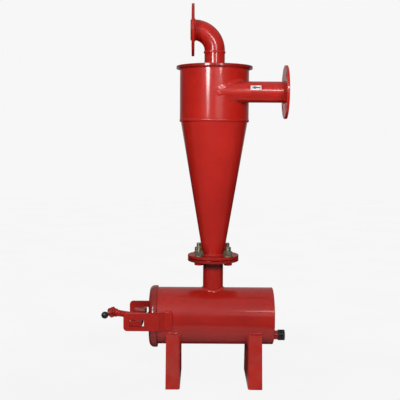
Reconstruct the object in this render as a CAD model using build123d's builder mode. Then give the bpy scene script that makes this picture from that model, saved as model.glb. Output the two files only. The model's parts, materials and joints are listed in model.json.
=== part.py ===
from build123d import *
import os
from math import cos, radians, sin, sqrt, tan

os.makedirs("parts", exist_ok=True)

# Sizes in millimetres. The floor is z = 0, +X points to the inlet and -Y to the front.
# Reaches and rises are measured from the cyclone's upright axis and from the floor.

# Pipework and plate flanges
pipe_od = 60.3
pipe_wall = 3.9
bend_radius = 60.0
elbow_leg = 5.0
flange_od = 152.4
flange_thickness = 8.0
bolt_circle = 120.7
bolt_hole = 19.0
bolt_count = 4
neck_gasket_od = 100.0
neck_gasket_thickness = 2.0
outlet_proud = 3.5
pipe_setback = 2.5
plate_edge = 1.0

# Cyclone body
shell_wall = 4.0
cylinder_od = 204.0
cylinder_height = 154.0
top_plate_overhang = 10.5
top_plate_thickness = 8.0
seam_ledge = 3.0
cone_height = 397.5
cone_foot_od = 63.0
finder_depth = 116.0
outlet_rise = 41.0
inlet_drop = 70.7
inlet_inset = 0.15
inlet_reach = 207.0

# Sediment tank
tank_od = 170.0
tank_wall = 4.0
tank_axis_z = 195.3
tank_right = 179.5
tank_left = 175.0
end_plate_thickness = 8.0
neck_height = 83.7
drain_od = 26.9
drain_wall = 2.9
drain_margin = 25.7
drain_reach = 215.0
cap_od = 29.5
cap_length = 20.0
cap_end = 3.0
cap_rib = 1.2
cap_rib_count = 20
cap_collar = 4.0

# Lid and its rubber ring
lid_wall = 4.0
lid_clearance = 3.5
lid_drop = 2.5
lid_depth = 23.0
lid_knuckle = 14.0
lid_gasket_width = 12.0
lid_gasket_thickness = 10.5

# Lid clamp
arm_plate = 8.0
arm_height = 52.0
arm_rise = 3.0
arm_corner = 11.0
pad_corner = 8.0
arm_lid_gap = 3.5
arm_right = 122.0
arm_stand = 5.0
joggle_run = 18.0
slot_room = 52.3
slot_length = 40.6
slot_end = 18.7
slot_corner = 2.0
clamp_drop = 4.3
clamp_roll = 2.0
clamp_tilt = 8.5
bar_tilt = 4.5
bar_width = 34.0
bar_thickness = 16.5
bar_proud = 6.0
bar_edge = 1.5
boss_size = 44.0
boss_depth = 31.0
spindle_od = 20.0
spindle_nose = 12.0
foot_od = 36.0
foot_thickness = 8.0
foot_floor = 3.0
hub_station = 81.3
hub_flats = 29.0
hub_depth = 20.0
hub_sides = 6
hub_edge = 2.0
lever_od = 12.0
lever_reach = 147.5
lever_rise = 7.5
lever_lean = 2.8
lever_tail = 3.0
ball_od = 20.0

# Folded plate supports
support_spacing = 240.5
support_shift = 3.0
support_width = 42.0
support_plate = 5.0
support_bend = 4.0
support_splay = 30.0
support_grip = 0.906

# Clearances: welded pieces, the slot round the crossbar and the turning screw
fit_gap = 0.15
slot_gap = 0.25
turn_gap = 0.3

# Levels up the cyclone
pipe_bore = pipe_od - 2 * pipe_wall
tank_flange_z = tank_axis_z + tank_od / 2 + neck_height
gasket_z = tank_flange_z + flange_thickness
cone_flange_z = gasket_z + neck_gasket_thickness
cone_z = cone_flange_z + flange_thickness
seam_z = cone_z + cone_height
top_plate_z = seam_z + cylinder_height
top_plate_od = cylinder_od + 2 * top_plate_overhang
elbow_z = top_plate_z + top_plate_thickness + outlet_rise
outlet_z = elbow_z + elbow_leg + bend_radius
inlet_z = top_plate_z - inlet_drop
inlet_offset = cylinder_od / 2 - inlet_inset - pipe_od / 2

# The drain sits a margin above the tank's lowest line. The lid hangs on the tank's rim, a drop below its axis.
drain_drop = tank_od / 2 - drain_margin
lid_od = tank_od + 2 * (lid_wall + lid_clearance)
lid_z = tank_axis_z - lid_drop

# Reaches along the tank
lid_inner = tank_left + lid_gasket_thickness
lid_face = lid_inner + lid_wall
lid_edge = lid_face - lid_depth
drain_end = drain_reach + turn_gap + cap_end
arm_inner = lid_od / 2 + arm_lid_gap
arm_outer = arm_inner + arm_plate
slot_left = lid_face + slot_room
arm_left = slot_left + slot_end

# The clamp sits a drop below the tank's axis, its front arm a little higher than its rear arm.
# The loose crossbar leans in its slots until its corners meet their edges, and the screw leans further.
clamp_z = tank_axis_z - clamp_drop
lean = radians(clamp_tilt)
bar_lean = radians(bar_tilt)
bar_half_length = bar_width / 2 * cos(bar_lean) + bar_thickness / 2 * sin(bar_lean)
bar_half_height = bar_thickness / 2 * cos(bar_lean) + bar_width / 2 * sin(bar_lean)
bar_reach = slot_left - slot_gap - bar_half_length
bar_half_span = arm_outer + bar_proud
slot_height = 2 * (bar_half_height + slot_gap)

# The supports meet the tank at a share of its radius
support_top_half = support_grip * tank_od / 2
support_foot_half = support_top_half + support_splay

# The origin is on the floor under the middle of the whole object's box
hub_start = hub_station - hub_flats / 2
hub_end = hub_station + hub_flats / 2
hub_half_side = hub_flats / 2 * tan(radians(180 / hub_sides))
left_end = bar_reach + hub_end * cos(lean) + hub_half_side * sin(lean)
right_end = max(drain_end, inlet_reach)
lever_radius = lever_reach * cos(radians(lever_lean))
front_end = lever_radius * cos(radians(lever_rise + clamp_roll)) + ball_od / 2
rear_end = max(bar_half_span, support_foot_half, top_plate_od / 2)
axis_x = (left_end - right_end) / 2
axis_y = (front_end - rear_end) / 2

# Work planes: level plan, upright section, planes square to the pipes and tank, and those of the clamp
plan = Plane((axis_x, axis_y, 0))
section = Plane((axis_x, axis_y, 0), x_dir=(1, 0, 0), z_dir=(0, -1, 0))
upright_axis = Axis((axis_x, axis_y, 0), (0, 0, 1))
tank_plane = Plane((axis_x, axis_y, tank_axis_z), x_dir=(0, 1, 0), z_dir=(1, 0, 0))
inlet_plane = Plane((axis_x, axis_y - inlet_offset, inlet_z), x_dir=(0, 1, 0), z_dir=(1, 0, 0))
outlet_plane = Plane((axis_x, axis_y, outlet_z), x_dir=(0, -1, 0), z_dir=(-1, 0, 0))
drain_plane = Plane((axis_x, axis_y, tank_axis_z - drain_drop), x_dir=(0, 1, 0), z_dir=(1, 0, 0))
clamp_set = Location((axis_x, axis_y, clamp_z), (-clamp_roll, 0, 0))


def on_clamp(origin, x_dir, z_dir):
    """Work plane given from the middle of the clamp, turned with it."""
    return Plane(clamp_set * Plane(origin, x_dir=x_dir, z_dir=z_dir).location)


arm_plan = on_clamp((0, 0, 0), (1, 0, 0), (0, 0, 1))
arm_section = on_clamp((0, 0, 0), (1, 0, 0), (0, -1, 0))
bar_plane = on_clamp((-bar_reach, 0, 0), (0, -1, 0), (-cos(bar_lean), 0, sin(bar_lean)))
clamp_plane = on_clamp((-bar_reach, 0, 0), (0, -1, 0), (-cos(lean), 0, sin(lean)))


def flange_sketch(bore):
    """Round plate flange with its centre hole and bolt holes."""
    with BuildSketch() as flange:
        Circle(flange_od / 2)
        Circle(bore / 2, mode=Mode.SUBTRACT)
        with PolarLocations(bolt_circle / 2, bolt_count, start_angle=180 / bolt_count):
            Circle(bolt_hole / 2, mode=Mode.SUBTRACT)
    return flange.sketch


def round_rim():
    """Rounds both outer rim edges of the plate being built."""
    fillet(edges().filter_by(GeomType.CIRCLE).sort_by(SortBy.RADIUS)[-2:], plate_edge)


# Outlet: flange, bend and upright pipe that reaches down inside the cylinder
with BuildPart() as outlet_flange:
    with BuildSketch(outlet_plane.offset(bend_radius)):
        add(flange_sketch(pipe_od + 2 * fit_gap))
    extrude(amount=flange_thickness)
    round_rim()
outlet_flange.part.label = "outlet_flange"
export_step(outlet_flange.part, "parts/outlet_flange.step")

outlet_end = bend_radius + flange_thickness + outlet_proud
with BuildPart() as outlet_elbow:
    with BuildLine(section):
        rise = Line((0, elbow_z), (0, elbow_z + elbow_leg))
        bend = TangentArc(rise @ 1, (-bend_radius, outlet_z), tangent=rise % 1)
        Line(bend @ 1, (-outlet_end, outlet_z))
    with BuildSketch(plan.offset(elbow_z)):
        Circle(pipe_od / 2)
        Circle(pipe_bore / 2, mode=Mode.SUBTRACT)
    sweep()
outlet_elbow.part.label = "outlet_elbow"
export_step(outlet_elbow.part, "parts/outlet_elbow.step")

with BuildPart() as outlet_pipe:
    with BuildSketch(plan.offset(top_plate_z - finder_depth)):
        Circle(pipe_od / 2)
        Circle(pipe_bore / 2, mode=Mode.SUBTRACT)
    extrude(amount=elbow_z - top_plate_z + finder_depth)
outlet_pipe.part.label = "outlet_pipe"
export_step(outlet_pipe.part, "parts/outlet_pipe.step")

with BuildPart() as top_plate:
    with BuildSketch(plan.offset(top_plate_z)):
        Circle(top_plate_od / 2)
        Circle(pipe_od / 2 + fit_gap, mode=Mode.SUBTRACT)
    extrude(amount=top_plate_thickness)
    round_rim()
top_plate.part.label = "top_plate"
export_step(top_plate.part, "parts/top_plate.step")

# Cylinder, opened where the inlet's bore runs in along its wall
with BuildPart() as cylinder_shell:
    with BuildSketch(plan.offset(seam_z)):
        Circle(cylinder_od / 2)
        Circle(cylinder_od / 2 - shell_wall, mode=Mode.SUBTRACT)
    extrude(amount=cylinder_height)
    with BuildSketch(inlet_plane):
        Circle(pipe_bore / 2)
    extrude(amount=cylinder_od, mode=Mode.SUBTRACT)
cylinder_shell.part.label = "cylinder_shell"
export_step(cylinder_shell.part, "parts/cylinder_shell.step")

# Tangential inlet, cut to the cylinder's outer face
with BuildPart() as inlet_pipe:
    with BuildSketch(inlet_plane):
        Circle(pipe_od / 2)
        Circle(pipe_bore / 2, mode=Mode.SUBTRACT)
    extrude(amount=inlet_reach - pipe_setback)
    with BuildSketch(plan.offset(inlet_z - pipe_od)):
        Circle(cylinder_od / 2 + fit_gap)
    extrude(amount=2 * pipe_od, mode=Mode.SUBTRACT)
inlet_pipe.part.label = "inlet_pipe"
export_step(inlet_pipe.part, "parts/inlet_pipe.step")

with BuildPart() as inlet_flange:
    with BuildSketch(inlet_plane.offset(inlet_reach - flange_thickness)):
        add(flange_sketch(pipe_od + 2 * fit_gap))
    extrude(amount=flange_thickness)
    round_rim()
inlet_flange.part.label = "inlet_flange"
export_step(inlet_flange.part, "parts/inlet_flange.step")

# Cone, set a ledge inside the cylinder's outer face
cone_top_od = cylinder_od - 2 * seam_ledge
cone_slope = (cone_top_od - cone_foot_od) / 2 / cone_height
cone_wall = shell_wall * sqrt(1 + cone_slope**2)
with BuildPart() as cone_shell:
    with BuildSketch(section):
        with BuildLine():
            Polyline(
                (cone_foot_od / 2, cone_z),
                (cone_top_od / 2, seam_z),
                (cone_top_od / 2 - cone_wall, seam_z),
                (cone_foot_od / 2 - cone_wall, cone_z),
                close=True,
            )
        make_face()
    revolve(axis=upright_axis)
cone_shell.part.label = "cone_shell"
export_step(cone_shell.part, "parts/cone_shell.step")

# Bolted neck joint between the cone and the tank
with BuildPart() as cone_flange:
    with BuildSketch(plan.offset(cone_flange_z)):
        add(flange_sketch(pipe_bore))
    extrude(amount=flange_thickness)
    round_rim()
cone_flange.part.label = "cone_flange"
export_step(cone_flange.part, "parts/cone_flange.step")

with BuildPart() as flange_gasket:
    with BuildSketch(plan.offset(gasket_z)):
        Circle(neck_gasket_od / 2)
        Circle(pipe_bore / 2, mode=Mode.SUBTRACT)
    extrude(amount=neck_gasket_thickness)
flange_gasket.part.label = "flange_gasket"
export_step(flange_gasket.part, "parts/flange_gasket.step")

with BuildPart() as tank_flange:
    with BuildSketch(plan.offset(tank_flange_z)):
        add(flange_sketch(pipe_od + 2 * fit_gap))
    extrude(amount=flange_thickness)
    round_rim()
tank_flange.part.label = "tank_flange"
export_step(tank_flange.part, "parts/tank_flange.step")

with BuildPart() as neck_pipe:
    with BuildSketch(plan.offset(tank_axis_z)):
        Circle(pipe_od / 2)
        Circle(pipe_bore / 2, mode=Mode.SUBTRACT)
    extrude(amount=gasket_z - pipe_setback - tank_axis_z)
    with BuildSketch(tank_plane.offset(-pipe_od)):
        Circle(tank_od / 2 + fit_gap)
    extrude(amount=2 * pipe_od, mode=Mode.SUBTRACT)
neck_pipe.part.label = "neck_pipe"
export_step(neck_pipe.part, "parts/neck_pipe.step")

# Sediment tank with its flat end and capped drain
with BuildPart() as tank_shell:
    with BuildSketch(tank_plane.offset(-tank_left)):
        Circle(tank_od / 2)
        Circle(tank_od / 2 - tank_wall, mode=Mode.SUBTRACT)
    extrude(amount=tank_left + tank_right)
    with BuildSketch(plan.offset(tank_axis_z)):
        Circle(pipe_bore / 2)
    extrude(amount=tank_od, mode=Mode.SUBTRACT)
tank_shell.part.label = "tank_shell"
export_step(tank_shell.part, "parts/tank_shell.step")

with BuildPart() as tank_end_plate:
    with BuildSketch(tank_plane.offset(tank_right - end_plate_thickness)):
        Circle(tank_od / 2 - tank_wall - fit_gap)
        with Locations((0, -drain_drop)):
            Circle(drain_od / 2 + fit_gap, mode=Mode.SUBTRACT)
    extrude(amount=end_plate_thickness)
tank_end_plate.part.label = "tank_end_plate"
export_step(tank_end_plate.part, "parts/tank_end_plate.step")

with BuildPart() as drain_nipple:
    with BuildSketch(drain_plane.offset(tank_right - end_plate_thickness)):
        Circle(drain_od / 2)
        Circle(drain_od / 2 - drain_wall, mode=Mode.SUBTRACT)
    extrude(amount=drain_reach - tank_right + end_plate_thickness)
drain_nipple.part.label = "drain_nipple"
export_step(drain_nipple.part, "parts/drain_nipple.step")

# Drain cap: collar, finger ribs and a closed end
with BuildPart() as drain_cap:
    with BuildSketch(drain_plane.offset(drain_end - cap_length)):
        Circle(cap_od / 2)
        with PolarLocations(cap_od / 2, cap_rib_count):
            Circle(cap_rib)
    extrude(amount=cap_length)
    with BuildSketch(drain_plane.offset(drain_end - cap_length)):
        Circle(cap_od / 2 + cap_rib)
    extrude(amount=cap_collar)
    with BuildSketch(drain_plane.offset(drain_end - cap_length)):
        Circle(drain_od / 2 + fit_gap)
    extrude(amount=cap_length - cap_end, mode=Mode.SUBTRACT)
drain_cap.part.label = "drain_cap"
export_step(drain_cap.part, "parts/drain_cap.step")

# Pressed lid over the tank's open end, with its rubber ring in the corner
lid_skirt = lid_od / 2 - lid_wall
lid_axis = Axis((axis_x, axis_y, lid_z), (1, 0, 0))
with BuildPart() as lid:
    with BuildSketch(section):
        with BuildLine():
            Polyline(
                (-lid_face, lid_z),
                (-lid_face, lid_z + lid_od / 2),
                (-lid_edge, lid_z + lid_od / 2),
                (-lid_edge, lid_z + lid_skirt),
                (-lid_inner, lid_z + lid_skirt),
                (-lid_inner, lid_z),
                close=True,
            )
        make_face()
        fillet(vertices().sort_by_distance((-lid_face, lid_z + lid_od / 2))[0], lid_knuckle)
        inner_corner = vertices().sort_by_distance((-lid_inner, lid_z + lid_skirt))[0]
        fillet(inner_corner, lid_knuckle - lid_wall)
    revolve(axis=lid_axis)
lid.part.label = "lid"
export_step(lid.part, "parts/lid.step")

ring_outer = lid_skirt - fit_gap
with BuildPart() as lid_gasket:
    with BuildSketch(section):
        with BuildLine():
            Polyline(
                (-lid_inner, lid_z + ring_outer - lid_gasket_width),
                (-lid_inner, lid_z + ring_outer),
                (-tank_left, lid_z + ring_outer),
                (-tank_left, lid_z + ring_outer - lid_gasket_width),
                close=True,
            )
        make_face()
        ring_corner = vertices().sort_by_distance((-lid_inner, lid_z + ring_outer))[0]
        fillet(ring_corner, lid_knuckle - lid_wall + fit_gap)
    revolve(axis=lid_axis)
lid_gasket.part.label = "lid_gasket"
export_step(lid_gasket.part, "parts/lid_gasket.step")

# Clamp arms: slotted plates, joggled outward past the lid and shaped to the tank's sides
joggle_start = lid_edge - arm_lid_gap
pad_inner = tank_od / 2 + arm_stand - arm_plate
slot_middle = slot_left - slot_length / 2
through_arm = Axis(arm_section.origin, arm_section.z_dir)
with BuildPart() as arm_blank:
    with BuildSketch(arm_plan.offset(arm_rise - arm_height / 2)):
        with BuildLine():
            Polyline(
                (-arm_left, -arm_inner),
                (-joggle_start, -arm_inner),
                (joggle_run - joggle_start, -pad_inner),
                (-arm_right, -pad_inner),
            )
            offset(amount=arm_plate, side=Side.RIGHT, kind=Kind.INTERSECTION)
        make_face()
    extrude(amount=arm_height)
    fillet(edges().filter_by(through_arm).group_by(Axis.X)[0], arm_corner)
    fillet(edges().filter_by(through_arm).group_by(Axis.X)[-1], pad_corner)
    with BuildSketch(arm_section):
        with Locations((-slot_middle, 0)):
            RectangleRounded(slot_length, slot_height, slot_corner)
    extrude(amount=2 * arm_outer, mode=Mode.SUBTRACT)

arm_blanks = {
    "front_clamp_arm": arm_blank.part,
    "rear_clamp_arm": mirror(arm_blank.part, about=arm_section),
}
for name, blank in arm_blanks.items():
    with BuildPart() as clamp_arm:
        add(blank)
        with BuildSketch(tank_plane.offset(-arm_left)):
            Circle(tank_od / 2 + fit_gap)
        extrude(amount=arm_left, mode=Mode.SUBTRACT)
    clamp_arm.part.label = name
    export_step(clamp_arm.part, f"parts/{name}.step")

# Crossbar through both slots, with the block that carries the screw's thread
with BuildPart() as crossbar:
    with BuildSketch(bar_plane.offset(-bar_width / 2)):
        Rectangle(2 * bar_half_span, bar_thickness)
    extrude(amount=bar_width)
    chamfer(faces().filter_by(through_arm).edges(), bar_edge)
    with BuildSketch(clamp_plane.offset(-boss_depth / 2)):
        RectangleRounded(boss_size, boss_size, bar_edge)
    extrude(amount=boss_depth)
    with BuildSketch(clamp_plane.offset(-bar_width)):
        Circle(spindle_od / 2 + turn_gap)
    extrude(amount=2 * bar_width, mode=Mode.SUBTRACT)
crossbar.part.label = "crossbar"
export_step(crossbar.part, "parts/crossbar.step")

# Clamp screw: swivel foot on the lid, spindle with a nose, a nut welded across its end, lever and ball
lid_station = -(bar_reach - lid_face) / cos(lean)
nose_station = lid_station + foot_floor + turn_gap
shoulder_station = lid_station + foot_thickness / cos(lean) + spindle_od / 2 * tan(lean) + turn_gap
foot_drop = (bar_reach - lid_face) * tan(lean)
foot_plane = on_clamp((-lid_face, 0, -foot_drop), (0, -1, 0), (-1, 0, 0))
with BuildPart() as pressure_foot:
    with BuildSketch(foot_plane):
        Circle(foot_od / 2)
    extrude(amount=foot_thickness)
    with BuildSketch(clamp_plane.offset(lid_station + foot_floor)):
        Circle(spindle_nose / 2 + turn_gap)
    extrude(amount=2 * foot_thickness, mode=Mode.SUBTRACT)
pressure_foot.part.label = "pressure_foot"
export_step(pressure_foot.part, "parts/pressure_foot.step")

with BuildPart() as clamp_spindle:
    with BuildSketch(clamp_plane.offset(nose_station)):
        Circle(spindle_nose / 2)
    extrude(amount=shoulder_station - nose_station)
    with BuildSketch(clamp_plane.offset(shoulder_station)):
        Circle(spindle_od / 2)
    extrude(amount=hub_start - shoulder_station)
clamp_spindle.part.label = "clamp_spindle"
export_step(clamp_spindle.part, "parts/clamp_spindle.step")

lever_direction = clamp_plane.x_dir.rotate(Axis((0, 0, 0), clamp_plane.z_dir), lever_rise)
hub_plane = Plane(
    clamp_plane.origin + clamp_plane.z_dir * hub_station, x_dir=clamp_plane.z_dir, z_dir=lever_direction
)
leaning_direction = lever_direction.rotate(Axis((0, 0, 0), hub_plane.y_dir), lever_lean)
lever_plane = Plane(hub_plane.origin, x_dir=hub_plane.y_dir, z_dir=leaning_direction)
with BuildPart() as spindle_hub:
    with BuildSketch(hub_plane.offset(-hub_depth / 2)):
        RegularPolygon(hub_flats / 2, hub_sides, major_radius=False, rotation=180 / hub_sides)
    extrude(amount=hub_depth)
    hub_faces = faces().sort_by(Axis(hub_plane.origin, hub_plane.z_dir))
    chamfer(hub_faces[0].edges() + hub_faces[-1].edges(), hub_edge)
    with BuildSketch(lever_plane.offset(-hub_depth)):
        Circle(lever_od / 2 + fit_gap)
    extrude(amount=2 * hub_depth, mode=Mode.SUBTRACT)
spindle_hub.part.label = "spindle_hub"
export_step(spindle_hub.part, "parts/spindle_hub.step")

lever_root = hub_depth / 2 + lever_tail
with BuildPart() as lever_rod:
    with BuildSketch(lever_plane.offset(-lever_root)):
        Circle(lever_od / 2)
    extrude(amount=lever_reach + lever_root)
lever_rod.part.label = "lever_rod"
export_step(lever_rod.part, "parts/lever_rod.step")

with BuildPart(lever_plane.offset(lever_reach)) as lever_ball:
    Sphere(ball_od / 2)
    with BuildSketch(lever_plane.offset(lever_reach - ball_od / 2)):
        Circle(lever_od / 2 + fit_gap)
    extrude(amount=ball_od / 2 + fit_gap, mode=Mode.SUBTRACT)
lever_ball.part.label = "lever_ball"
export_step(lever_ball.part, "parts/lever_ball.step")

# Supports: plate folded to a channel, splayed towards the floor and cut to the tank
support_top_z = tank_axis_z - sqrt((tank_od / 2) ** 2 - support_top_half**2)
splay = (support_foot_half - support_top_half) / support_top_z
leg_wall = support_plate * sqrt(1 + splay**2)


def support_outline(inset):
    """Splayed outline of a support seen along the tank, drawn in by an inset at both sides."""
    with BuildSketch() as outline:
        with BuildLine():
            Polyline(
                (inset - support_foot_half, 0),
                (support_foot_half - inset, 0),
                (support_top_half - inset, support_top_z),
                (inset - support_top_half, support_top_z),
                close=True,
            )
        make_face()
    return outline.sketch


def folded_block(base, inset, bend):
    """Block raised from a support's outline, with its two fold edges on the base rounded."""
    with BuildPart() as block:
        with BuildSketch(base):
            add(support_outline(inset))
        extrude(amount=support_width)
        fold_edges = faces().sort_by(Axis(base.origin, base.z_dir))[0].edges()
        fillet(fold_edges.filter_by(Axis.Y, reverse=True), bend)
    return block.part


supports = {"left_support": -1, "right_support": 1}
for name, side in supports.items():
    web_x = axis_x + support_shift + side * (support_spacing - support_width) / 2
    web_plane = Plane((web_x, axis_y, 0), x_dir=(0, side, 0), z_dir=(side, 0, 0))
    with BuildPart() as support:
        add(folded_block(web_plane, 0, support_bend + support_plate))
        hollow = folded_block(web_plane.offset(support_plate), leg_wall, support_bend)
        add(hollow, mode=Mode.SUBTRACT)
        with BuildSketch(web_plane):
            with Locations((0, tank_axis_z)):
                Circle(tank_od / 2 + fit_gap)
        extrude(amount=support_width, mode=Mode.SUBTRACT)
    support.part.label = name
    export_step(support.part, f"parts/{name}.step")
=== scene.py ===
import bpy
import json
import numpy as np
from math import pi, radians
from mathutils import Matrix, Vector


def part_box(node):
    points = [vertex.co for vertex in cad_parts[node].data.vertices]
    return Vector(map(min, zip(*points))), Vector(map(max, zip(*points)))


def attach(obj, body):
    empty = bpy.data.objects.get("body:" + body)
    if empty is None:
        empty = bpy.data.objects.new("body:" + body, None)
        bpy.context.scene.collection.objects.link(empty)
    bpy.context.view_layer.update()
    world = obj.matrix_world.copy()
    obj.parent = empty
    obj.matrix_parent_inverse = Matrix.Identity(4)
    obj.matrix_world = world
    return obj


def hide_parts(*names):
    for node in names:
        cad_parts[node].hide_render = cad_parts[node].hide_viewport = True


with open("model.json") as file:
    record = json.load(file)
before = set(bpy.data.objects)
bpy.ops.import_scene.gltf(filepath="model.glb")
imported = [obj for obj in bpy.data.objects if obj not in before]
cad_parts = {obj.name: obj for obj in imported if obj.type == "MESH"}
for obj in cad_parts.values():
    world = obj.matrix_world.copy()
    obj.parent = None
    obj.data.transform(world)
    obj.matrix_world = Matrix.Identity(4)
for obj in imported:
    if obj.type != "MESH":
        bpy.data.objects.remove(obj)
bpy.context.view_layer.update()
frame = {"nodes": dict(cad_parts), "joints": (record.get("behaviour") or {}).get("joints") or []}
scene = bpy.context.scene
scene.view_settings.view_transform = "Standard"
solids = frame["nodes"]
mm = 0.001
xWay, yWay, zWay = np.eye(3)
print("frame loaded with", len(solids), "solids")


# lowest and highest corner of a solid's box
def lowHigh(node):
    low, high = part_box(node)
    return np.array(low), np.array(high)


def middle(node):
    low, high = lowHigh(node)
    return (low + high) / 2


# every mesh point of a solid, a row each
def cornersOf(node):
    flat = np.empty(len(solids[node].data.vertices) * 3)
    solids[node].data.vertices.foreach_get("co", flat)
    return flat.reshape(-1, 3)


def unit(vectors):
    return vectors / np.linalg.norm(vectors, axis=-1, keepdims=True)


# places and radii that the pieces below take from the solids
axisX, axisY = middle("cylinder_shell")[:2]  # upright axis of the cyclone
pipeLow, pipeHigh = lowHigh("outlet_pipe")
plateLow, plateHigh = lowHigh("top_plate")
cylinderLow, cylinderHigh = lowHigh("cylinder_shell")
tankLow, tankHigh = lowHigh("tank_shell")
drainLow, drainHigh = lowHigh("drain_nipple")
pipeRadius = (pipeHigh[0] - pipeLow[0]) / 2
cylinderRadius = (cylinderHigh[0] - cylinderLow[0]) / 2
tankRadius = (tankHigh[2] - tankLow[2]) / 2
drainRadius = (drainHigh[2] - drainLow[2]) / 2
tankZ = middle("tank_shell")[2]
inletY, inletZ = middle("inlet_flange")[1:]
outletZ = middle("outlet_flange")[2]
drainY, drainZ = middle("drain_nipple")[1:]
flangeFoot = lowHigh("tank_flange")[0][2]  # underside and top of the neck's pair of flanges
flangeTop = lowHigh("cone_flange")[1][2]
screw = next(joint for joint in frame["joints"] if joint["name"] == "screw_turn")
screwOrigin = np.array(screw["pos_m"])
screwAxis = unit(np.array(screw["axis"]))

noiseSpan = (0.3, 0.7)  # where most of a noise's values lie


# a node with its properties set, and its inputs set or linked
def addNode(tree, kind, inputs=None, **props):
    node = tree.nodes.new(kind)
    for key, value in props.items():
        setattr(node, key, value)
    for key, value in (inputs or {}).items():
        if isinstance(value, bpy.types.NodeSocket):
            tree.links.new(value, node.inputs[key])
        else:
            node.inputs[key].default_value = value
    return node


def noiseFac(tree, vector, scale, detail=4.0, rough=0.55):
    inputs = {"Vector": vector, "Scale": scale, "Detail": detail, "Roughness": rough}
    return addNode(tree, "ShaderNodeTexNoise", inputs).outputs["Fac"]


def remap(tree, value, low, high, toLow=0.0, toHigh=1.0, smooth=False):
    kind = "SMOOTHSTEP" if smooth else "LINEAR"
    inputs = {"Value": value, "From Min": low, "From Max": high, "To Min": toLow, "To Max": toHigh}
    return addNode(tree, "ShaderNodeMapRange", inputs, interpolation_type=kind).outputs["Result"]


def calc(tree, operation, a, b=0.0):
    return addNode(tree, "ShaderNodeMath", {0: a, 1: b}, operation=operation).outputs[0]


def blendColor(tree, factor, a, b, how="MIX"):
    node = addNode(tree, "ShaderNodeMix", {0: factor, 6: a, 7: b}, data_type="RGBA", blend_type=how)
    return node.outputs[2]


def blendValue(tree, factor, a, b):
    return addNode(tree, "ShaderNodeMix", {0: factor, 2: a, 3: b}, data_type="FLOAT").outputs[0]


def greyOf(tree, value):
    return addNode(tree, "ShaderNodeCombineColor", {0: value, 1: value, 2: value}).outputs[0]


def partsOf(tree, vector):
    return addNode(tree, "ShaderNodeSeparateXYZ", {0: vector}).outputs


def bumpOf(tree, height, distance, strength, normal=None):
    inputs = {"Height": height, "Distance": distance, "Strength": strength}
    if normal is not None:
        inputs["Normal"] = normal
    return addNode(tree, "ShaderNodeBump", inputs).outputs["Normal"]


def newFinish(name):
    finish = bpy.data.materials.new(name)
    finish.use_nodes = True
    tree = finish.node_tree
    tree.nodes.clear()
    out = addNode(tree, "ShaderNodeOutputMaterial")
    shader = addNode(tree, "ShaderNodeBsdfPrincipled")
    tree.links.new(shader.outputs["BSDF"], out.inputs["Surface"])
    place = addNode(tree, "ShaderNodeTexCoord").outputs["Object"]
    return finish, tree, shader, place


redPaint = {
    "deep": (0.46, 0.0105, 0.0058, 1.0),
    "bright": (0.58, 0.0165, 0.0088, 1.0),
    "dustAndSheen": (0.40, 0.16, 0.13, 1.0),
    "cornerShade": (0.10, 0.035, 0.025, 1.0),
    "paintedShadow": (0.055, 0.005, 0.004, 1.0),
    "primer": (0.12, 0.085, 0.075, 1.0),
    "cloudScale": 8.0,
    "mottleScale": 55.0,
    "mottleShades": (0.93, 1.05),
    "dustScale": 24.0,
    "dustShare": 0.07,
    "cornerShadeReach": 0.03,
    "shadowFade": 0.032,
    "shadowDeep": 0.015,
    "shadowShare": 0.85,
    "edgeRadius": 0.0009,
    "edgeSpan": (0.985, 0.86),
    "wornShare": 0.35,
    "chipScale": 150.0,
    "chipSpan": (0.69, 0.76),
    "chipDepth": 0.00025,
    "roughScale": 30.0,
    "roughness": (0.30, 0.46),
    "dustRoughens": 0.3,
    "specular": 0.18,
    "coat": 0.75,
    "coatRoughness": 0.085,
    "peelScale": 420.0,
    "peelDepth": 0.00007,
    "waveScale": 16.0,
    "waveDepth": 0.0006,
}
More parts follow.
